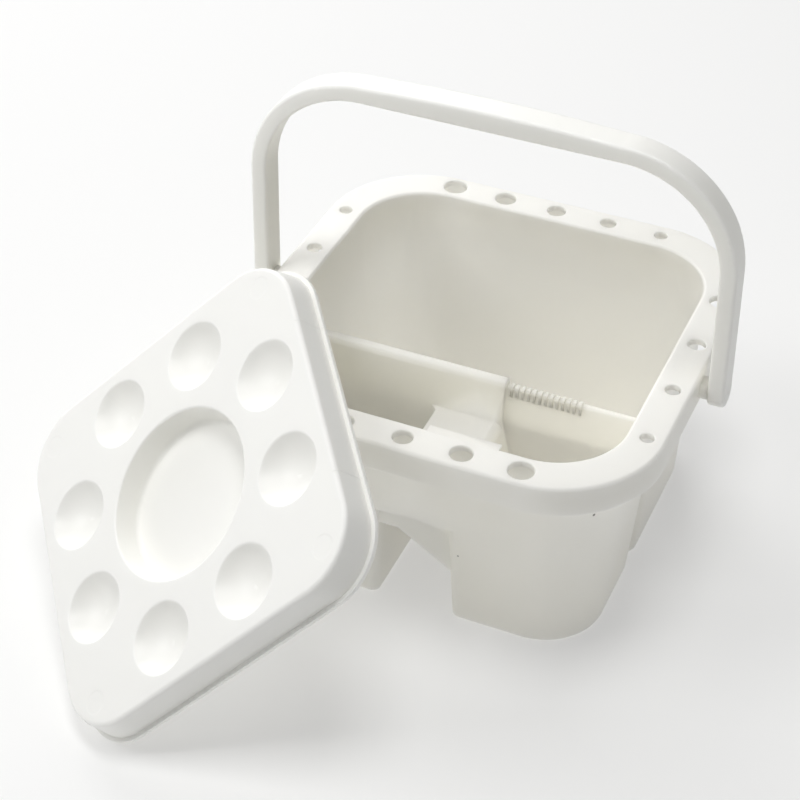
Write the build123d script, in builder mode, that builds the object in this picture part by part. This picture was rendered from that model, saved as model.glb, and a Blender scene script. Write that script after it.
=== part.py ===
from build123d import *
import os
from math import acos, atan2, cos, hypot, radians, sin, sqrt

# Brush washer: a square tub with three water wells, a broad rim drilled for brushes, a bail handle,
# and a palette lid that stands on one corner and leans on the rim.
# Millimetres. The origin is on the ground under the middle of the tub, +Z is up, -Y is the front.

os.makedirs("parts", exist_ok=True)

# ---------------------------------------------------------------- driving dimensions
# tub
tub_height = 91.0  # ground to the top of the rim
wall = 2.2  # moulded wall
opening_side = 141.4  # across the mouth, inside
opening_corner_r = 27.2
base_side = 135.0  # across the wells at the ground
base_corner_r = 24.0
base_edge_r = 2.0  # rounding where the walls turn under
leg_corner_r = 3.5  # outside corners next to the channel
slot_corner_r = 5.5  # outside corners at the ends of the slot
well_corner_r = 3.0  # inside the wells, next to the gaps
well_floor_r = 2.4

# gaps under the tub, between the wells
gap_roof_z = 46.0  # where the wells join
channel_left_x = -14.6  # the channel between the two front wells, at the ground
channel_right_x = 15.3
channel_draft = 1.6  # how much nearer each of its sides is at the roof
channel_bevel_z = 29.0  # its roof slopes down to the right, as far as this
slot_front_y = -12.5  # the slot between the front wells and the back well, at the ground
slot_back_y = -9.0
slot_roof_front_y = -4.4  # the same slot at its roof
slot_roof_back_y = -3.4
web_setback = 2.2  # the web across the channel's front stands behind the front wall
web_low_left_z = 38.0
web_bend_x = -6.0
web_low_right_z = 23.5
crest_r = 5.0  # where the hump between the front wells turns down into the right-hand one

# divider between the front wells and the back well
ridge_back_y = 0.0
ridge_width = 6.0
ridge_top_z = 66.0
ridge_end_x = 11.0
low_ridge_width = 3.0
ridge_step = 3.5  # from the thick part's crown down to the thin part's

# comb on the low part of the divider
comb_gap = 1.5  # from the end of the thick part to the first tooth
tooth_count = 13
tooth_pitch = 2.3
tooth_width = 1.1
tooth_reach = 1.0  # how far the teeth stand out of the divider's front
tooth_inset = 0.7  # and how far they stay in from its back
tooth_length = 5.5
tooth_rise = 1.1  # above the low divider's crown

# rim
rim_width = 14.3  # from the mouth to the outside
rim_corner_r = 40.5
rim_plate = 2.4
skirt_depth = 12.0
skirt_wall = 1.8
rim_edge_r = 1.5
mouth_edge_r = 1.2
rail_margin = 7.9  # from the middle of the last hole to the end of each straight rail
hole_setback = 7.0  # from the rim's outside to the middle of each row of brush holes
hole_edge_r = 0.5
long_row_pitch = 22.0
long_row_diameters = (5.0, 6.4, 7.4, 8.4, 9.4)  # front row, left to right
side_row_pitch = 29.4
side_row_diameters = (5.0, 5.8, 6.6, 7.4)  # right-hand row, front to back

# small ledge on the front of the mouth
ledge_start_x = 6.0
ledge_length = 27.0
ledge_reach = 3.0
ledge_thickness = 1.6
ledge_drop = 0.4

# handle
pivot_drop = 7.0  # from the rim's top down to the pivots
handle_rise = 95.4  # pivot to the top of the bar
arm_clearance = 3.3  # between the rim and each arm, at the pivots
handle_lean = 1.65  # how much nearer the middle each arm is at the top
handle_corner_r = 45.0
handle_crown = 1.4  # how much the top of the bar swells towards its middle
bar_thickness = 6.5
bar_width = 11.2
bar_edge_r = 1.2
stud_r = 2.6
stud_clearance = 0.08
stud_depth = 4.0  # into the arm
collar_r = 4.2
collar_gap = 0.25

# lid
lid_clearance = 0.9  # all round, between the lip and the mouth that it closes
lid_corner_r = 23.0
lip_reach = 2.2  # how far the lip stands out past the top
lid_top_corner_r = 23.5
lid_height = 13.1
lip_thickness = 1.5
lid_wall = 2.4
lid_edge_r = 1.6
dish_margin = 1.9  # from each paint dish to the edge of the top
dish_count = 8
dish_r = 13.2
dish_depth = 6.8
dish_edge_r = 0.8
recess_r = 32.0
recess_slope = 2.0  # how much smaller the floor's radius is
recess_depth = 9.5
recess_floor_edge_r = 2.0

# how the lid leans on the tub
dish_above_edge = 12.369  # the middle of the ball that hollows the touching dish, above the rim's edge
lid_heading = -128.5  # the way it faces, degrees from +X
lid_spin = -159.6  # the way downhill in the lid's own frame, degrees
lid_sideways = 23.3
lid_gap = 0.3

# ---------------------------------------------------------------- sizes that follow
rim_side = opening_side + 2 * rim_width
hole_row = rim_side / 2 - hole_setback
long_row_reach = (len(long_row_diameters) - 1) / 2 * long_row_pitch
side_row_reach = (len(side_row_diameters) - 1) / 2 * side_row_pitch
half_rail = max(long_row_reach, side_row_reach) + rail_margin
plate_z = tub_height - rim_plate
inner_floor_z = wall
crest_z = gap_roof_z + wall
crest_right_x = ridge_end_x
channel_bevel_x = crest_right_x - wall
ridge_shoulder_z = ridge_top_z - ridge_width / 2
low_ridge_top_z = ridge_top_z - ridge_step
low_shoulder_z = low_ridge_top_z - low_ridge_width / 2


def outer_half(z):
    """Half of the tub's outside width at height z."""
    top = opening_side / 2 + wall
    return base_side / 2 + (top - base_side / 2) * z / tub_height


def outer_corner(z):
    """Radius of the tub's outside corners at height z."""
    return base_corner_r + (opening_corner_r + wall - base_corner_r) * z / tub_height


def between(low, high, z, z_high=gap_roof_z):
    """A value that runs straight from low at the ground to high at z_high."""
    return low + (high - low) * z / z_high


def rounded_outline(x0, x1, y0, y1, radii):
    """A face between the given sides, with one radius for each corner, anticlockwise from x0, y0."""
    with BuildSketch() as outline:
        with BuildLine():
            FilletPolyline((x0, y0), (x1, y0), (x1, y1), (x0, y1), radius=radii, close=True)
        make_face()
    return outline.sketch


def channel_left(z):
    return between(channel_left_x, channel_left_x + channel_draft, z)


def channel_right(z):
    return between(channel_right_x, channel_right_x - channel_draft, z)


def slot_front(z):
    return between(slot_front_y, slot_roof_front_y, z)


def slot_back(z):
    return between(slot_back_y, slot_roof_back_y, z)


# ---------------------------------------------------------------- tub: outside shapes
with BuildPart() as back_cup:
    for z in (0, gap_roof_z):
        h, big, small = outer_half(z), outer_corner(z), slot_corner_r
        with BuildSketch(Plane.XY.offset(z)):
            add(rounded_outline(-h, h, slot_back(z), h, (small, small, big, big)))
    loft()
    fillet(back_cup.edges().group_by(Axis.Z)[0], base_edge_r)

with BuildPart() as left_cup:
    for z in (0, gap_roof_z):
        h, big, small = outer_half(z), outer_corner(z), leg_corner_r
        with BuildSketch(Plane.XY.offset(z)):
            radii = (big, small, small, slot_corner_r)
            add(rounded_outline(-h, channel_left(z), -h, slot_front(z), radii))
    loft()
    fillet(left_cup.edges().group_by(Axis.Z)[0], base_edge_r)

with BuildPart() as right_cup:
    for z in (0, gap_roof_z):
        h, big, small = outer_half(z), outer_corner(z), leg_corner_r
        with BuildSketch(Plane.XY.offset(z)):
            radii = (small, big, slot_corner_r, small)
            add(rounded_outline(channel_right(z), h, -h, slot_front(z), radii))
    loft()
    fillet(right_cup.edges().group_by(Axis.Z)[0], base_edge_r)

# the sloping right-hand half of the channel's roof, as far back as the slot
with BuildPart() as channel_bevel:
    bevel_front = outer_half(channel_bevel_z) - web_setback
    bevel_right_x = channel_right_x + wall
    for z in (channel_bevel_z - wall, gap_roof_z):
        with BuildSketch(Plane.XY.offset(z)):
            with Locations((channel_bevel_x, slot_front(z))):
                Rectangle(
                    bevel_right_x - channel_bevel_x,
                    bevel_front + slot_front(z),
                    align=(Align.MIN, Align.MAX),
                )
    loft()
    with BuildSketch(Plane.XZ.offset(bevel_front)):
        with BuildLine():
            Polyline(
                (channel_bevel_x, gap_roof_z),
                (bevel_right_x, gap_roof_z),
                (bevel_right_x, channel_bevel_z - wall),
                (channel_right(channel_bevel_z), channel_bevel_z),
                close=True,
            )
        make_face()
    extrude(amount=-bevel_front, mode=Mode.INTERSECT)

# the web across the front of the channel, with its slanting lower edge
with BuildPart() as channel_web:
    with BuildSketch(Plane.XZ.offset(outer_half(gap_roof_z) - web_setback)):
        with BuildLine():
            Polyline(
                (channel_left_x - wall, gap_roof_z),
                (channel_left_x - wall, web_low_left_z),
                (web_bend_x, web_low_left_z),
                (channel_right_x + wall / 2, web_low_right_z),
                (channel_right_x + wall / 2, gap_roof_z),
                close=True,
            )
        make_face()
    extrude(amount=-wall)

# everything above the gaps, up to the underside of the rim
with BuildPart() as upper_body:
    for z in (gap_roof_z, plate_z):
        h, big = outer_half(z), outer_corner(z)
        with BuildSketch(Plane.XY.offset(z)):
            add(rounded_outline(-h, h, -h, h, (big, big, big, big)))
    loft()


# ---------------------------------------------------------------- tub: the hollows inside
def thick_front(z):
    """Inside face of the divider's thick part on the front wells' side, at height z."""
    return between(slot_front_y - wall, ridge_back_y - ridge_width, z, ridge_shoulder_z)


def thin_front(z):
    """The same for the thin part."""
    return between(slot_front_y - wall, ridge_back_y - low_ridge_width, z, low_shoulder_z)


def back_wall_front(z):
    """Inside face of the divider on the back well's side, at height z."""
    return between(slot_back_y + wall, ridge_back_y, z, ridge_shoulder_z)


with BuildPart() as back_hollow:
    for z in (inner_floor_z, ridge_shoulder_z):
        h, big = outer_half(z) - wall, outer_corner(z) - wall
        with BuildSketch(Plane.XY.offset(z)):
            add(rounded_outline(-h, h, back_wall_front(z), h, (well_corner_r, well_corner_r, big, big)))
    loft()
    fillet(back_hollow.edges().group_by(Axis.Z)[0], well_floor_r)

with BuildPart() as left_hollow:
    for z in (inner_floor_z, crest_z):
        h, big = outer_half(z) - wall, outer_corner(z) - wall
        y1 = thick_front(z)
        with BuildSketch(Plane.XY.offset(z)):
            small = well_corner_r
            add(rounded_outline(-h, channel_left(z) - wall, -h, y1, (big, small, small, small)))
    loft()
    fillet(left_hollow.edges().group_by(Axis.Z)[0], well_floor_r)

with BuildPart() as right_hollow:
    for z in (inner_floor_z, crest_z):
        h, big = outer_half(z) - wall, outer_corner(z) - wall
        y1 = thin_front(z)
        with BuildSketch(Plane.XY.offset(z)):
            small = well_corner_r
            add(rounded_outline(channel_right(z) + wall, h, -h, y1, (small, big, small, small)))
    loft()
    fillet(right_hollow.edges().group_by(Axis.Z)[0], well_floor_r)

# the slope from the crest between the front wells down into the right-hand one
with BuildPart() as right_slope:
    slope_right_x = channel_right_x + 2 * wall + well_corner_r
    front_y = outer_half(channel_bevel_z) - 2 * wall - web_setback
    for z in (channel_bevel_z, crest_z):
        back_y = thin_front(z)
        with BuildSketch(Plane.XY.offset(z)):
            with Locations((crest_right_x, back_y)):
                Rectangle(slope_right_x - crest_right_x, front_y + back_y, align=(Align.MIN, Align.MAX))
    loft()
    with BuildSketch(Plane.XZ.offset(front_y)):
        with BuildLine():
            Polyline(
                (crest_right_x, crest_z),
                (slope_right_x, crest_z),
                (slope_right_x, channel_bevel_z),
                (channel_right(channel_bevel_z) + wall, channel_bevel_z),
                close=True,
            )
        make_face()
    extrude(amount=-front_y, mode=Mode.INTERSECT)

# above the crest the two front wells are one space, as far up as the divider's shoulder
with BuildPart() as front_hollow:
    for z in (crest_z, ridge_shoulder_z):
        h, big = outer_half(z) - wall, outer_corner(z) - wall
        y1 = thick_front(z)
        with BuildSketch(Plane.XY.offset(z)):
            add(rounded_outline(-h, h, -h, y1, (big, big, well_corner_r, well_corner_r)))
    loft()

# on the right the divider is thinner, so the space in front of it goes further back
with BuildPart() as front_step:
    for z in (crest_z, ridge_shoulder_z):
        h = outer_half(z) - wall
        y0 = thick_front(z)
        y1 = thin_front(z)
        with BuildSketch(Plane.XY.offset(z)):
            with BuildLine():
                Polyline((ridge_end_x, y0 - wall), (h, y0 - wall), (h, y1), (ridge_end_x, y1), close=True)
            make_face()
    loft()

# the open mouth above the divider, drawn past the rim's top so that it cuts the rim as well
with BuildPart() as mouth:
    for z in (ridge_shoulder_z, tub_height + rim_plate):
        h, big = outer_half(z) - wall, outer_corner(z) - wall
        with BuildSketch(Plane.XY.offset(z)):
            add(rounded_outline(-h, h, -h, h, (big, big, big, big)))
    loft()

# the divider's crown: a thick round back on the left, a lower and thinner one on the right
with BuildPart() as crown:
    wall_reach = outer_half(ridge_shoulder_z) - wall / 2
    with BuildSketch(Plane.YZ.offset(-wall_reach)):
        with Locations((ridge_back_y - ridge_width / 2, ridge_shoulder_z)):
            Circle(ridge_width / 2)
    extrude(amount=wall_reach + ridge_end_x)
    with BuildSketch(Plane.YZ.offset(ridge_end_x)):
        with Locations((ridge_back_y - low_ridge_width / 2, low_shoulder_z)):
            Circle(low_ridge_width / 2)
    extrude(amount=wall_reach - ridge_end_x)

# the part of the divider that is lower than the thick crown's shoulder
with BuildPart() as low_step:
    with BuildSketch(Plane.YZ.offset(ridge_end_x)):
        with Locations((ridge_back_y - ridge_width / 2, (low_shoulder_z + ridge_top_z) / 2)):
            Rectangle(2 * ridge_width, ridge_top_z - low_shoulder_z)
    extrude(amount=outer_half(low_shoulder_z) - wall - ridge_end_x)

# ---------------------------------------------------------------- tub: one moulding, kept as three nodes
with BuildPart() as body:
    add(upper_body.part)
    add(back_cup.part)
    add(left_cup.part)
    add(right_cup.part)
    add(channel_bevel.part)
    add(back_hollow.part, mode=Mode.SUBTRACT)
    add(left_hollow.part, mode=Mode.SUBTRACT)
    add(right_hollow.part, mode=Mode.SUBTRACT)
    add(right_slope.part, mode=Mode.SUBTRACT)
    add(front_hollow.part, mode=Mode.SUBTRACT)
    add(front_step.part, mode=Mode.SUBTRACT)
    add(mouth.part, mode=Mode.SUBTRACT)
    add(low_step.part, mode=Mode.SUBTRACT)
    add(crown.part)
    add(channel_web.part)
    on_the_crest = (crest_right_x, -outer_half(crest_z) / 2, crest_z)
    fillet(body.edges().filter_by(Axis.Y).sort_by_distance(on_the_crest)[0], crest_r)

# the cut runs up the middle of the slot and on through the divider
slot_y = (slot_front_y + slot_back_y) / 2
slot_roof_y = (slot_roof_front_y + slot_roof_back_y) / 2
slot_cut = Plane(origin=(0, slot_y, 0), x_dir=(1, 0, 0), z_dir=(0, gap_roof_z, slot_y - slot_roof_y))
split_x = (channel_left_x + channel_right_x) / 2

with BuildPart() as well_back:
    add(body.part)
    split(bisect_by=slot_cut, keep=Keep.TOP)

with BuildPart() as front_wells:
    add(body.part)
    split(bisect_by=slot_cut, keep=Keep.BOTTOM)

with BuildPart() as well_front_left:
    add(front_wells.part)
    split(bisect_by=Plane.YZ.offset(split_x), keep=Keep.BOTTOM)

with BuildPart() as well_front_right:
    add(front_wells.part)
    split(bisect_by=Plane.YZ.offset(split_x), keep=Keep.TOP)

well_back.part.label = "well_back"
export_step(well_back.part, "parts/well_back.step")
well_front_left.part.label = "well_front_left"
export_step(well_front_left.part, "parts/well_front_left.step")
well_front_right.part.label = "well_front_right"
export_step(well_front_right.part, "parts/well_front_right.step")

# ---------------------------------------------------------------- comb on the low divider
comb_y = ridge_back_y - low_ridge_width / 2
tooth_depth = low_ridge_width + tooth_reach - tooth_inset
tooth_top_z = low_ridge_top_z + tooth_rise

with BuildPart() as comb:
    for i in range(tooth_count):
        x = ridge_end_x + comb_gap + tooth_width / 2 + i * tooth_pitch
        with BuildSketch(Plane.YZ.offset(x - tooth_width / 2)):
            with Locations((comb_y - (tooth_reach + tooth_inset) / 2, tooth_top_z - tooth_length / 2)):
                RectangleRounded(tooth_depth, tooth_length, tooth_width)
        extrude(amount=tooth_width)
    add(body.part, mode=Mode.SUBTRACT)

comb.part.label = "comb"
export_step(comb.part, "parts/comb.step")

# ---------------------------------------------------------------- rim
with BuildPart() as rim:
    with BuildSketch(Plane.XY.offset(tub_height - skirt_depth)):
        RectangleRounded(rim_side, rim_side, rim_corner_r)
        inside = rim_side - 2 * skirt_wall
        RectangleRounded(inside, inside, rim_corner_r - skirt_wall, mode=Mode.SUBTRACT)
    extrude(amount=skirt_depth)
    with BuildSketch(Plane.XY.offset(plate_z)):
        RectangleRounded(rim_side, rim_side, rim_corner_r)
    extrude(amount=rim_plate)
    fillet(rim.edges().group_by(Axis.Z)[-1], rim_edge_r)
    add(mouth.part, mode=Mode.SUBTRACT)
    mouth_edges = rim.edges().group_by(Axis.Z)[-1].filter_by(
        lambda e: max(abs(e.center().X), abs(e.center().Y)) < opening_side / 2 + 1
    )
    fillet(mouth_edges, mouth_edge_r)


def hole_places():
    """Place and diameter of each brush hole. The back and left rows are the others turned half a turn."""
    places = {}
    for i, d in enumerate(long_row_diameters):
        x = i * long_row_pitch - long_row_reach
        places[f"front_{i + 1}"] = (x, -hole_row, d)
        places[f"back_{i + 1}"] = (-x, hole_row, d)
    for i, d in enumerate(side_row_diameters):
        y = i * side_row_pitch - side_row_reach
        places[f"right_{i + 1}"] = (hole_row, y, d)
        places[f"left_{i + 1}"] = (-hole_row, -y, d)
    return places


with BuildPart() as hole_cutters:
    for x, y, d in hole_places().values():
        with BuildSketch(Plane.XY.offset(plate_z - rim_plate)):
            with Locations((x, y)):
                Circle(d / 2)
    extrude(amount=3 * rim_plate)

with BuildPart() as drilled_rim:
    add(rim.part)
    add(hole_cutters.part, mode=Mode.SUBTRACT)
    hole_mouths = drilled_rim.edges().filter_by(GeomType.CIRCLE).group_by(Axis.Z)[-1]
    fillet(hole_mouths, hole_edge_r)

reach = rim_side  # past the rim on every side


def rim_zone(x0, x1, y0, y1):
    """The part of the rim that lies between the given sides."""
    with BuildPart() as zone:
        add(drilled_rim.part)
        with BuildSketch(Plane.XY.offset(tub_height - 2 * skirt_depth)):
            with Locations(((x0 + x1) / 2, (y0 + y1) / 2)):
                Rectangle(x1 - x0, y1 - y0)
        extrude(amount=3 * skirt_depth, mode=Mode.INTERSECT)
    return zone.part


with BuildPart() as rim_front:
    add(rim_zone(-half_rail, half_rail, -reach, -half_rail))
    with BuildSketch(Plane.XY.offset(tub_height - ledge_drop - ledge_thickness)):
        ledge_root = opening_side / 2 + mouth_edge_r
        with Locations((ledge_start_x, -ledge_root)):
            Rectangle(ledge_length, mouth_edge_r + ledge_reach, align=(Align.MIN, Align.MIN))
    extrude(amount=ledge_thickness)

with BuildPart() as rim_back:
    add(rim_zone(-half_rail, half_rail, half_rail, reach))

with BuildPart() as rim_left:
    add(rim_zone(-reach, -half_rail, -half_rail, half_rail))

with BuildPart() as rim_right:
    add(rim_zone(half_rail, reach, -half_rail, half_rail))

for piece, name in (
    (rim_front, "rim_front"),
    (rim_back, "rim_back"),
    (rim_left, "rim_left"),
    (rim_right, "rim_right"),
):
    piece.part.label = name
    export_step(piece.part, f"parts/{name}.step")

for side, x0, x1 in (("left", -reach, -half_rail), ("right", half_rail, reach)):
    for end, y0, y1 in (("front", -reach, -half_rail), ("back", half_rail, reach)):
        with BuildPart() as rim_corner:
            add(rim_zone(x0, x1, y0, y1))
        rim_corner.part.label = f"rim_corner_{end}_{side}"
        export_step(rim_corner.part, f"parts/rim_corner_{end}_{side}.step")

# ---------------------------------------------------------------- handle and its studs
pivot_z = tub_height - pivot_drop
arm_inner_x = rim_side / 2 + arm_clearance
handle_half_width = arm_inner_x + bar_thickness
handle_top_z = pivot_z + handle_rise
foot_z = pivot_z - bar_width / 2


def bail_outline(inset):
    """The handle seen from the front: its outer outline at inset 0, its inner one at inset bar_thickness."""
    low = handle_half_width - inset
    slope = handle_lean / handle_rise
    foot = low + slope * (pivot_z - foot_z)
    top_z = handle_top_z - inset
    top = low - slope * (top_z - pivot_z)
    radius = handle_corner_r - inset
    with BuildSketch() as outline:
        with BuildLine():
            FilletPolyline((-foot, foot_z), (-top, top_z), (top, top_z), (foot, foot_z), radius=radius)
            Line((foot, foot_z), (-foot, foot_z))
        make_face()
    return outline.sketch


with BuildPart() as handle:
    with BuildSketch(Plane.XZ.offset(-bar_width)):
        add(bail_outline(0))
        crown_half = handle_half_width - handle_lean - handle_corner_r
        with BuildLine():
            ThreePointArc(
                (-crown_half, handle_top_z),
                (0, handle_top_z + handle_crown),
                (crown_half, handle_top_z),
            )
            Line((crown_half, handle_top_z), (-crown_half, handle_top_z))
        make_face()
        add(bail_outline(bar_thickness), mode=Mode.SUBTRACT)
    extrude(amount=2 * bar_width)
    with BuildSketch(Plane.YZ.offset(-reach)):
        with Locations((0, pivot_z)):
            Circle(bar_width / 2)
        with Locations((0, pivot_z + handle_rise)):
            Rectangle(bar_width, 2 * handle_rise)
    extrude(amount=2 * reach, mode=Mode.INTERSECT)
    fillet(handle.edges(), bar_edge_r)
    with BuildSketch(Plane.YZ.offset(-arm_inner_x - stud_depth - collar_gap)):
        with Locations((0, pivot_z)):
            Circle(stud_r + stud_clearance)
    extrude(amount=2 * (arm_inner_x + stud_depth + collar_gap), mode=Mode.SUBTRACT)

handle.part.label = "handle"
export_step(handle.part, "parts/handle.step")

for side, sign in (("left", -1), ("right", 1)):
    start = rim_side / 2
    with BuildPart() as pivot_stud:
        with BuildSketch(Plane.YZ.offset(sign * start)):
            with Locations((0, pivot_z)):
                Circle(collar_r)
        extrude(amount=sign * (arm_inner_x - collar_gap - start))
        with BuildSketch(Plane.YZ.offset(sign * start)):
            with Locations((0, pivot_z)):
                Circle(stud_r)
        extrude(amount=sign * (arm_inner_x + stud_depth - start))
    pivot_stud.part.label = f"pivot_stud_{side}"
    export_step(pivot_stud.part, f"parts/pivot_stud_{side}.step")

# ---------------------------------------------------------------- lid, made lying flat with its top at z = 0
lid_side = opening_side - 2 * lid_clearance
lid_top_side = lid_side - 2 * lip_reach
dish_ring_r = lid_top_side / 2 - dish_margin - dish_r
dish_ball_r = (dish_r**2 + dish_depth**2) / (2 * dish_depth)
dish_ball_z = dish_ball_r - dish_depth
recess_floor_r = recess_r - recess_slope
recess_under_z = -recess_depth - lid_wall

with BuildPart() as flat_lid:
    for z, side, corner in (
        (0, lid_top_side, lid_top_corner_r),
        (lip_thickness - lid_height, lid_side - 2 * lip_thickness, lid_corner_r - lip_thickness),
    ):
        with BuildSketch(Plane.XY.offset(z)):
            RectangleRounded(side, side, corner)
    loft()
    with BuildSketch(Plane.XY.offset(-lid_height)):
        RectangleRounded(lid_side, lid_side, lid_corner_r)
    extrude(amount=lip_thickness)
    fillet(flat_lid.edges().group_by(Axis.Z)[-1], lid_edge_r)
    for z, side, corner in (
        (-lid_wall, lid_top_side, lid_top_corner_r),
        (-lid_height, lid_side - 2 * lip_thickness, lid_corner_r - lip_thickness),
    ):
        with BuildSketch(Plane.XY.offset(z)):
            RectangleRounded(side - 2 * lid_wall, side - 2 * lid_wall, corner - lid_wall)
    loft(mode=Mode.SUBTRACT)
    with PolarLocations(dish_ring_r, dish_count, start_angle=180 / dish_count):
        with Locations((0, 0, dish_ball_z)):
            Sphere(dish_ball_r + lid_wall)
    for z, r in ((0, recess_r + lid_wall), (recess_under_z, recess_floor_r + lid_wall)):
        with BuildSketch(Plane.XY.offset(z)):
            Circle(r)
    loft()
    recess_under = flat_lid.faces().filter_by(Axis.Z).filter_by_position(Axis.Z, recess_under_z, recess_under_z)
    fillet(recess_under.edges(), recess_floor_edge_r + lid_wall)
    with BuildSketch(Plane.XY):
        Rectangle(reach, reach)
    extrude(amount=reach, mode=Mode.SUBTRACT)
    with PolarLocations(dish_ring_r, dish_count, start_angle=180 / dish_count):
        with Locations((0, 0, dish_ball_z)):
            Sphere(dish_ball_r, mode=Mode.SUBTRACT)
    for z, r in ((0, recess_r), (-recess_depth, recess_floor_r)):
        with BuildSketch(Plane.XY.offset(z)):
            Circle(r)
    loft(mode=Mode.SUBTRACT)

    fillet(flat_lid.edges().filter_by(GeomType.CIRCLE).filter_by_position(Axis.Z, 0, 0), dish_edge_r)
    recess_floor = flat_lid.faces().filter_by(Axis.Z).filter_by_position(Axis.Z, -recess_depth, -recess_depth)
    fillet(recess_floor.edges(), recess_floor_edge_r)

# ---------------------------------------------------------------- lid, leaned against the front left corner
spin = radians(lid_spin)
foot_straight = lid_side / 2 - lid_corner_r
foot_x = -foot_straight + lid_corner_r * cos(spin)
foot_y = -foot_straight + lid_corner_r * sin(spin)
foot_reach = foot_x * cos(spin) + foot_y * sin(spin)

# the lowest point of the lip stands on the ground, and the ball of one dish rests on the rim,
# so the slope is the one that brings the middle of that ball to its height above the rim's edge
dish_turn = radians(1.5 * 360 / dish_count)
edge_z = tub_height - rim_edge_r
along = foot_reach - dish_ring_r * cos(dish_turn - spin)
across = lid_height + dish_ball_z
tilt = atan2(across, along) + acos((edge_z + dish_above_edge) / hypot(along, across))

heading = radians(lid_heading)
outward = Vector(cos(heading), sin(heading), 0)
sideways = Vector(-sin(heading), cos(heading), 0)
up = Vector(0, 0, 1)
lid_normal = outward * cos(tilt) + up * sin(tilt)
lid_uphill = up * cos(tilt) - outward * sin(tilt)
lid_x = lid_uphill * -cos(spin) + lid_normal.cross(lid_uphill) * sin(spin)
lid_y = lid_normal.cross(lid_x)
lid_z = foot_reach * cos(tilt) + lid_height * sin(tilt)

# the ball touches the rounded edge of the rim's front left corner
ball = (lid_x * cos(dish_turn) + lid_y * sin(dish_turn)) * dish_ring_r + lid_normal * dish_ball_z
touch_length = dish_ball_r + lid_wall + lid_gap + rim_edge_r
ball_from_corner = rim_corner_r - rim_edge_r + sqrt(touch_length**2 - dish_above_edge**2)
ball_sideways = lid_sideways + ball.dot(sideways)
lid_ahead = sqrt(ball_from_corner**2 - ball_sideways**2) - ball.dot(outward)
rim_straight = rim_side / 2 - rim_corner_r
corner_centre = Vector(-rim_straight, -rim_straight, 0)
lid_centre = corner_centre + outward * lid_ahead + sideways * lid_sideways + up * lid_z
lid_plane = Plane(origin=lid_centre, x_dir=lid_x, z_dir=lid_normal)

with BuildPart() as lid:
    add(flat_lid.part.moved(lid_plane.location))

lid.part.label = "lid"
export_step(lid.part, "parts/lid.step")
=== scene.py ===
# %% [markdown]
# # A brush washer with its palette lid
#
# This lesson dresses a finished CAD model: a white polypropylene tub with three water wells, a swinging
# carrying handle, and a lid that doubles as a paint palette and leans on the tub's rim.
# The CAD model already has the true shapes and sizes, so Blender's work here is the moulded plastic itself,
# the fine traces that a mould leaves, the light, and the camera.

import math

import bmesh
import bpy
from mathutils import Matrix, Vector


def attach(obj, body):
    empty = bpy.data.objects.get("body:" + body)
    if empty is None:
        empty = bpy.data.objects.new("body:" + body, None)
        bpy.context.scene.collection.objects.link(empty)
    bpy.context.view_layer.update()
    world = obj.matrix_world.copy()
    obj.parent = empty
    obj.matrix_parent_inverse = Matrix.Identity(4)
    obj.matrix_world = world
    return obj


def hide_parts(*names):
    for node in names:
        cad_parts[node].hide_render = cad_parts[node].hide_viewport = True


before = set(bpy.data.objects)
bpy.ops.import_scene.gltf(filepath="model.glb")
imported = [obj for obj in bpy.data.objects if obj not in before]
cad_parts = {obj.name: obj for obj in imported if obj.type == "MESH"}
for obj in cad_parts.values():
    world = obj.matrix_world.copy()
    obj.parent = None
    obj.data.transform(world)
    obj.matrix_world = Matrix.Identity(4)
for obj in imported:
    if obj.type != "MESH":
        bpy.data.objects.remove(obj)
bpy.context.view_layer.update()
MM = 0.001  # the frame is in metres, and a name that ends in _MM holds millimetres

# %% [markdown]
# ## Small helpers
#
# Colours are picked as sRGB hex values, the way a paint chip is written down, but a shader adds and
# multiplies light, so it wants linear values. One function turns one into the other.
# The second function adds one node with its inputs and settings, so each material below reads as a list of
# what it is made of.


# %% Colour and node helpers
def linear(hex_colour):
    """An sRGB hex colour, such as "FCFAF2", as linear red, green, blue and alpha."""
    channels = [int(hex_colour[i : i + 2], 16) / 255 for i in (0, 2, 4)]
    return [c / 12.92 if c <= 0.04045 else ((c + 0.055) / 1.055) ** 2.4 for c in channels] + [1.0]


def node(tree, kind, inputs=None, **settings):
    """Adds a node. Each input, found by name or by place, is linked to a socket or set to a plain value."""
    made = tree.nodes.new(kind)
    for key, setting in settings.items():
        setattr(made, key, setting)
    for key, value in (inputs or {}).items():
        if isinstance(value, bpy.types.NodeSocket):
            tree.links.new(value, made.inputs[key])
        else:
            made.inputs[key].default_value = value
    return made


print("white polypropylene in linear light:", [round(c, 3) for c in linear("FCFAF2")])

# %% [markdown]
# ## Moulded polypropylene
#
# The real pieces are polypropylene, injected hot into a steel mould that was spark-eroded to a fine, even
# texture. To the eye that gives a milky white with a soft, wide highlight: light goes a little way into the
# plastic and comes out again, so edges and thin walls look warm and shadows never go quite dark.
# A Principled BSDF does this with an IOR of 1.49, a roughness near 0.4 and subsurface scattering over a few
# millimetres. The tub's walls are thin, so its light is let in deepest, and they glow a little from behind.
# Three things keep it from looking like a flat colour. The spark texture is a very fine bump. A moulded
# wall is never quite flat, because it shrinks as it cools, so a long shallow bump bends the highlights. And
# the plastic's white drifts a little where it flowed and cooled at different speeds.

# %% Polypropylene material
GRAIN_MM = 0.45  # spark texture, drawn about twice as coarse as the real one so that it shows
GRAIN_DEPTH_MM = 0.05  # the full depth of its bump, which the bump's strength then weakens
SINK_MM = 38.0  # spacing of the shallow waves that shrinkage leaves
SINK_DEPTH_MM = 1.2  # weakened in the same way
DRIFT_MM = 60.0  # spacing of the drift in the white
SHEEN_DROP = 0.05  # how far the roughness drifts with the white
SHEEN_RISE = 0.06
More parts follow.
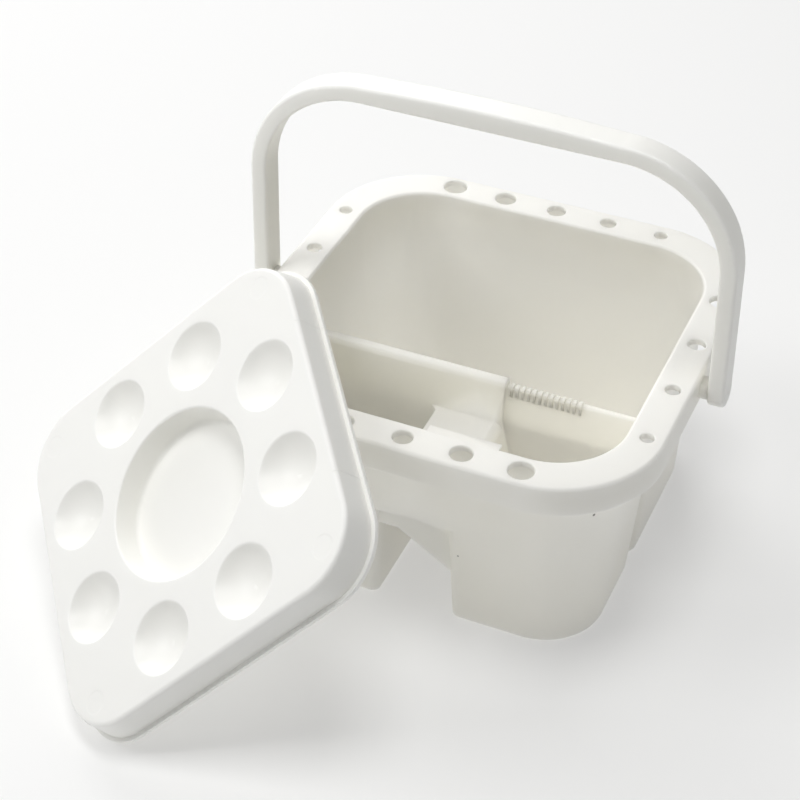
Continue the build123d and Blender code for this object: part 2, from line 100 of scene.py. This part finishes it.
# A Mix node's sockets share their names, so its two colours and the mixed one are found by place.
MIX_A = 6
MIX_B = 7
MIX_COLOUR = 2


def polypropylene(name, white, shade, roughness, depth_mm):
    """Satin white moulded polypropylene that drifts between two whites and lets light in to a depth."""
    material = bpy.data.materials.new(name)
    material.use_nodes = True
    tree = material.node_tree
    tree.nodes.clear()
    place = node(tree, "ShaderNodeTexCoord").outputs["Object"]
    drift = node(tree, "ShaderNodeTexNoise", {"Vector": place, "Scale": 1 / (DRIFT_MM * MM), "Detail": 2.0})
    colour = node(
        tree,
        "ShaderNodeMix",
        {"Factor": drift.outputs["Fac"], MIX_A: linear(white), MIX_B: linear(shade)},
        data_type="RGBA",
    )
    grain = node(tree, "ShaderNodeTexNoise", {"Vector": place, "Scale": 1 / (GRAIN_MM * MM), "Detail": 3.0})
    sink = node(tree, "ShaderNodeTexNoise", {"Vector": place, "Scale": 1 / (SINK_MM * MM), "Detail": 1.0})
    waves = node(
        tree,
        "ShaderNodeBump",
        {"Height": sink.outputs["Fac"], "Strength": 0.35, "Distance": SINK_DEPTH_MM * MM},
    )
    texture = node(
        tree,
        "ShaderNodeBump",
        {
            "Height": grain.outputs["Fac"],
            "Strength": 0.12,
            "Distance": GRAIN_DEPTH_MM * MM,
            "Normal": waves.outputs["Normal"],
        },
    )
    sheen = node(
        tree,
        "ShaderNodeMapRange",
        {
            "Value": drift.outputs["Fac"],
            "To Min": roughness - SHEEN_DROP,
            "To Max": roughness + SHEEN_RISE,
        },
    )
    plastic = node(
        tree,
        "ShaderNodeBsdfPrincipled",
        {
            "Base Color": colour.outputs[MIX_COLOUR],
            "Roughness": sheen.outputs["Result"],
            "Normal": texture.outputs["Normal"],
            "IOR": 1.49,
            "Subsurface Weight": 0.7,
            "Subsurface Scale": depth_mm * MM,
            "Subsurface Radius": (1.0, 1.0, 1.0),
        },
    )
    node(tree, "ShaderNodeOutputMaterial", {"Surface": plastic.outputs["BSDF"]})
    return material


tub_plastic = polypropylene("polypropylene_tub", "FCFAF2", "FAF7EC", roughness=0.42, depth_mm=8.0)
handle_plastic = polypropylene("polypropylene_handle", "FCFBF4", "FAF8F0", roughness=0.40, depth_mm=4.0)
lid_plastic = polypropylene("polypropylene_lid", "FCFBF5", "FAF9F2", roughness=0.42, depth_mm=1.8)
print("materials:", [material.name for material in bpy.data.materials])

# %% [markdown]
# ## Flecks of scorched plastic
#
# Up close, a moulding shows how it was made. A grain of plastic that stayed too long in the hot barrel
# scorches, and now and then one sets in a wall as a dark fleck. The tub has two of them in its front.
# A fleck is too slight for the CAD model, so the material carries it. It is a mask, worked out from the
# distance to one point in the part's own space, and the colour node that it drives is put in front of
# whatever feeds the base colour now. So no image and no unwrapping are needed.

# %% Flecks in the tub
FLECKS_MM = (((65.8, -60.1, 63.7), 0.5), ((18.6, -69.5, 34.1), 0.25))  # place and radius of each
FLECK_BLUR_MM = 0.25
SCORCHED = "4A4642"


def inside(tree, distance, edge_mm, blur_mm):
    """1 where a distance is under the edge and 0 where it is over, blurred across it."""
    fade = node(
        tree,
        "ShaderNodeMapRange",
        {
            "Value": distance,
            "From Min": (edge_mm - blur_mm) * MM,
            "From Max": (edge_mm + blur_mm) * MM,
            "To Min": 1,
            "To Max": 0,
        },
    )
    return fade.outputs["Result"]


def put_before(material, socket_name, made, way_in, way_out):
    """Puts a node between one of the plastic's inputs and whatever feeds it now."""
    socket = material.node_tree.nodes["Principled BSDF"].inputs[socket_name]
    material.node_tree.links.new(socket.links[0].from_socket, made.inputs[way_in])
    material.node_tree.links.new(made.outputs[way_out], socket)


def fleck(material, at_mm, radius_mm):
    """A dark fleck set in the plastic at one point."""
    tree = material.node_tree
    place = tree.nodes["Texture Coordinate"].outputs["Object"]
    away = node(tree, "ShaderNodeVectorMath", {0: place, 1: Vector(at_mm) * MM}, operation="DISTANCE")
    dot = inside(tree, away.outputs["Value"], radius_mm, FLECK_BLUR_MM)
    dark = node(tree, "ShaderNodeMix", {"Factor": dot, MIX_B: linear(SCORCHED)}, data_type="RGBA")
    put_before(material, "Base Color", dark, MIX_A, MIX_COLOUR)


for fleck_place, fleck_radius in FLECKS_MM:
    fleck(tub_plastic, fleck_place, fleck_radius)
print("flecks in", tub_plastic.name + ":", len(FLECKS_MM))

# %% [markdown]
# ## Pin marks and seams on the lid
#
# Round ejector pins push a moulding out of the steel, and leave a shallow disc in each corner of the lid.
# Where two blocks of steel meet, a hair-thin line of plastic stands up, and the lid has such lines across
# two of its sides. Discs and lines sink or rise by less than two tenths of a millimetre, so they are bumps
# in the material, each held inside a mask.
# The lid leans at an angle, so its marks are measured in its own frame: a Mapping node set to Texture
# undoes the lid's place and turn. The marks lie the same on both sides of the lid's middle, so the
# distances along and across it are taken without their signs, and one mask draws all four discs.

# %% Distances along and across the lid
LID_CENTRE_MM = (-70.360, -114.439, 69.436)  # the middle of its top
LID_TURN = (0.353152, -0.749134, 0.402732)  # from lying flat to leaning, in radians about X, Y and Z

lid_tree = lid_plastic.node_tree
on_lid = node(
    lid_tree,
    "ShaderNodeMapping",
    {
        "Vector": lid_tree.nodes["Texture Coordinate"].outputs["Object"],
        "Location": Vector(LID_CENTRE_MM) * MM,
        "Rotation": LID_TURN,
    },
    vector_type="TEXTURE",
)
unsigned = node(lid_tree, "ShaderNodeVectorMath", {0: on_lid.outputs["Vector"]}, operation="ABSOLUTE")
axes = node(lid_tree, "ShaderNodeSeparateXYZ", {"Vector": unsigned.outputs["Vector"]}).outputs
print("the lid's middle is", LID_CENTRE_MM[2], "mm above the ground")

# %% Pin marks
PIN_MM = 4.2  # radius of an ejector pin
PIN_BLUR_MM = 0.35
PIN_SINK_MM = 0.12  # how far its disc lies below the face
PIN_PLACE_MM = (55.0, 55.6, 0.0)  # its middle, along and across the lid


def press(material, mask, rise_mm):
    """Raises the masked area of the surface, or sinks it when the rise is negative."""
    bump = node(
        material.node_tree,
        "ShaderNodeBump",
        {"Height": mask, "Distance": abs(rise_mm) * MM},
        invert=rise_mm < 0,
    )
    put_before(material, "Normal", bump, "Normal", "Normal")


flat = node(lid_tree, "ShaderNodeCombineXYZ", {"X": axes["X"], "Y": axes["Y"]})
from_pin = node(
    lid_tree,
    "ShaderNodeVectorMath",
    {0: flat.outputs["Vector"], 1: Vector(PIN_PLACE_MM) * MM},
    operation="DISTANCE",
)
pin_mask = inside(lid_tree, from_pin.outputs["Value"], PIN_MM, PIN_BLUR_MM)
press(lid_plastic, pin_mask, -PIN_SINK_MM)
print("pin marks", 2 * PIN_MM, "mm wide")

# %% Seams
SEAM_MM = 0.22  # half the width of a seam
SEAM_BLUR_MM = 0.1
SEAM_RISE_MM = 0.15
SEAM_PLACE_MM = 32.3  # across the lid
LID_SIDE_MM = 66.0  # along the lid: beyond this, its surface is the side

past_seam = node(lid_tree, "ShaderNodeMath", {0: axes["Y"], 1: SEAM_PLACE_MM * MM}, operation="SUBTRACT")
from_seam = node(lid_tree, "ShaderNodeMath", {0: past_seam.outputs["Value"]}, operation="ABSOLUTE")
seam = inside(lid_tree, from_seam.outputs["Value"], SEAM_MM, SEAM_BLUR_MM)
on_side = node(lid_tree, "ShaderNodeMath", {0: axes["X"], 1: LID_SIDE_MM * MM}, operation="GREATER_THAN")
seam_mask = node(lid_tree, "ShaderNodeMath", {0: seam, 1: on_side.outputs["Value"]}, operation="MULTIPLY")
press(lid_plastic, seam_mask.outputs["Value"], SEAM_RISE_MM)
print("seams", 2 * SEAM_MM, "mm wide and", SEAM_RISE_MM, "mm high")

# %% [markdown]
# ## One moulding from fourteen CAD nodes
#
# The CAD model keeps the tub as fourteen nodes, because that suits its collision shapes. The real tub is
# one moulding, and light that travels inside the plastic would stop at every hidden joint and show it as a
# line. So the lesson unites copies of the nodes into a single skin. The Manifold solver takes closed meshes
# only, and a CAD mesh is closed once the doubled points along its face borders are merged.

# %% Unite the tub
DOUBLED_MM = 0.0001  # points nearer to each other than this are one point
tub_nodes = [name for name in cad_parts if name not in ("handle", "lid")]


def closed_copy(cad_node):
    """A copy of one CAD node with the doubled points along its face borders merged."""
    shape = bmesh.new()
    shape.from_mesh(cad_node.data)
    bmesh.ops.remove_doubles(shape, verts=shape.verts, dist=DOUBLED_MM * MM)
    data = bpy.data.meshes.new(cad_node.name + "_copy")
    shape.to_mesh(data)
    shape.free()
    twin = bpy.data.objects.new(data.name, data)
    twin.matrix_world = cad_node.matrix_world.copy()
    return twin


copies = [closed_copy(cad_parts[name]) for name in tub_nodes]
bpy.context.scene.collection.objects.link(copies[0])
for other in copies[1:]:
    union = copies[0].modifiers.new("union", "BOOLEAN")
    union.operation = "UNION"
    union.solver = "MANIFOLD"
    union.object = other
depsgraph = bpy.context.evaluated_depsgraph_get()
skin = bpy.data.meshes.new_from_object(copies[0].evaluated_get(depsgraph))
for twin in copies:
    bpy.data.objects.remove(twin)
print("united", len(tub_nodes), "nodes into", len(skin.polygons), "faces")

# %% [markdown]
# ## Flat walls and rounded corners
#
# The solver leaves hair-thin faces where two pieces met, so points that all but touch are welded and what
# shrinks to nothing is dissolved. Then the skin is shaded smooth, and its flat walls need their normals
# back: only edges sharper than a set angle stay hard, and a Weighted Normal modifier lets the larger faces
# decide how the normals lean at the soft ones.

# %% Weld and shade the tub
WELD_MM = 0.002
SLIVER_MM = 0.001  # edges shorter than this are dissolved
SOFT_EDGE = 32  # degrees, the sharpest turn that is still shaded as one surface

weld = bmesh.new()
weld.from_mesh(skin)
bmesh.ops.remove_doubles(weld, verts=weld.verts, dist=WELD_MM * MM)
bmesh.ops.dissolve_degenerate(weld, edges=weld.edges, dist=SLIVER_MM * MM)
print("edges left open:", sum(1 for edge in weld.edges if len(edge.link_faces) != 2))
weld.to_mesh(skin)
weld.free()
skin.shade_smooth()
skin.set_sharp_from_angle(angle=math.radians(SOFT_EDGE))
tub = bpy.data.objects.new("tub_moulding", skin)
bpy.context.scene.collection.objects.link(tub)
weighted = tub.modifiers.new("weighted_normals", "WEIGHTED_NORMAL")
weighted.keep_sharp = True

# %% [markdown]
# ## Plastic on every piece
#
# The skin takes the place of the tub's fourteen nodes and moves with the tub's body. The handle and the lid
# are one moulding each already, so they stay the CAD model's own meshes and are only given their plastic.

# %% Give every piece its plastic
for data, plastic in (
    (skin, tub_plastic),
    (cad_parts["handle"].data, handle_plastic),
    (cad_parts["lid"].data, lid_plastic),
):
    data.materials.clear()
    data.materials.append(plastic)
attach(tub, "tub")
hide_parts(*tub_nodes)
print("tub_moulding stands in for", len(tub_nodes), "nodes")

# %% [markdown]
# ## A sheet of white paper
#
# The washer stands on a sheet of matt paper that is far larger than what the camera sees. The paper is a
# light grey that also shines a little by itself, as on a light table, so that it comes out white and its
# shadows stay pale. The Standard view transform leaves whites white, where a filmic one would grey them.

# %% Floor
FLOOR_SIZE = 20.0  # metres

bpy.context.scene.view_settings.view_transform = "Standard"
half = FLOOR_SIZE / 2
floor_mesh = bpy.data.meshes.new("floor")
floor_mesh.from_pydata(
    [(-half, -half, 0), (half, -half, 0), (half, half, 0), (-half, half, 0)], [], [(0, 1, 2, 3)]
)
floor = bpy.data.objects.new("floor", floor_mesh)
bpy.context.scene.collection.objects.link(floor)
paper = bpy.data.materials.new("white_paper")
paper.use_nodes = True
paper_inputs = paper.node_tree.nodes["Principled BSDF"].inputs
paper_inputs["Base Color"].default_value = linear("C0C0BF")
paper_inputs["Roughness"].default_value = 0.9
paper_inputs["Emission Color"].default_value = linear("FFFFFF")
paper_inputs["Emission Strength"].default_value = 0.40
floor_mesh.materials.append(paper)
print("floor laid,", FLOOR_SIZE, "m across")

# %% [markdown]
# ## Three soft lights
#
# White on white is a lighting problem: the object only shows because its faces catch different amounts of
# light. A softbox above keeps the rim bright while the rim shades the wall below it. One on the left rakes
# across the lid and models its dishes. A large one behind shines over and through the back wall, so the
# inside of the tub stays light. A weak white sky fills in what is left. Area lights are used because their
# size sets how soft a shadow's edge is, as a real softbox's does.

# %% Lights
LIT_POINT = Vector((0, 0, 0.07))  # metres, a point inside the tub


def softbox(name, at, size, power):
    """A square area light that is turned to face the tub, placed and sized in metres."""
    data = bpy.data.lights.new(name, "AREA")
    data.shape = "SQUARE"
    data.size = size
    data.energy = power
    lamp = bpy.data.objects.new(name, data)
    lamp.location = at
    lamp.rotation_euler = (LIT_POINT - Vector(at)).to_track_quat("-Z", "Y").to_euler()
    bpy.context.scene.collection.objects.link(lamp)


softbox("overhead_softbox", at=(0.05, -0.15, 1.6), size=0.55, power=10.0)
softbox("left_softbox", at=(-1.0, -0.55, 1.1), size=0.7, power=8.6)
softbox("back_softbox", at=(-0.9, 1.0, 0.9), size=1.2, power=12)

sky = bpy.data.worlds.new("studio")
sky.use_nodes = True
sky_inputs = sky.node_tree.nodes["Background"].inputs
sky_inputs["Color"].default_value = linear("FFFFFF")
sky_inputs["Strength"].default_value = 0.14
bpy.context.scene.world = sky

# %% [markdown]
# ## The camera
#
# The camera looks down into the tub from the front and a little from the right, as someone does who stands
# at the table. Its lens is a long one, which keeps the near side of the rim less than a fifth longer than
# the far side.

# %% Camera
CAMERA_PLACE_MM = (209.255, -565.544, 532.545)
CAMERA_TILT = 51.2911  # degrees up from looking straight down
CAMERA_ROLL = -0.2537  # degrees about Y
CAMERA_HEADING = 23.5463  # degrees, turned to the left from looking along Y
LENS_MM = 89.41
SENSOR_MM = 36.0

camera_data = bpy.data.cameras.new("camera")
camera_data.lens = LENS_MM
camera_data.sensor_width = SENSOR_MM
camera = bpy.data.objects.new("camera", camera_data)
camera.location = Vector(CAMERA_PLACE_MM) * MM
camera.rotation_euler = [math.radians(angle) for angle in (CAMERA_TILT, CAMERA_ROLL, CAMERA_HEADING)]
bpy.context.scene.collection.objects.link(camera)
bpy.context.scene.camera = camera
print("camera", round(camera.location.length, 3), "m away")
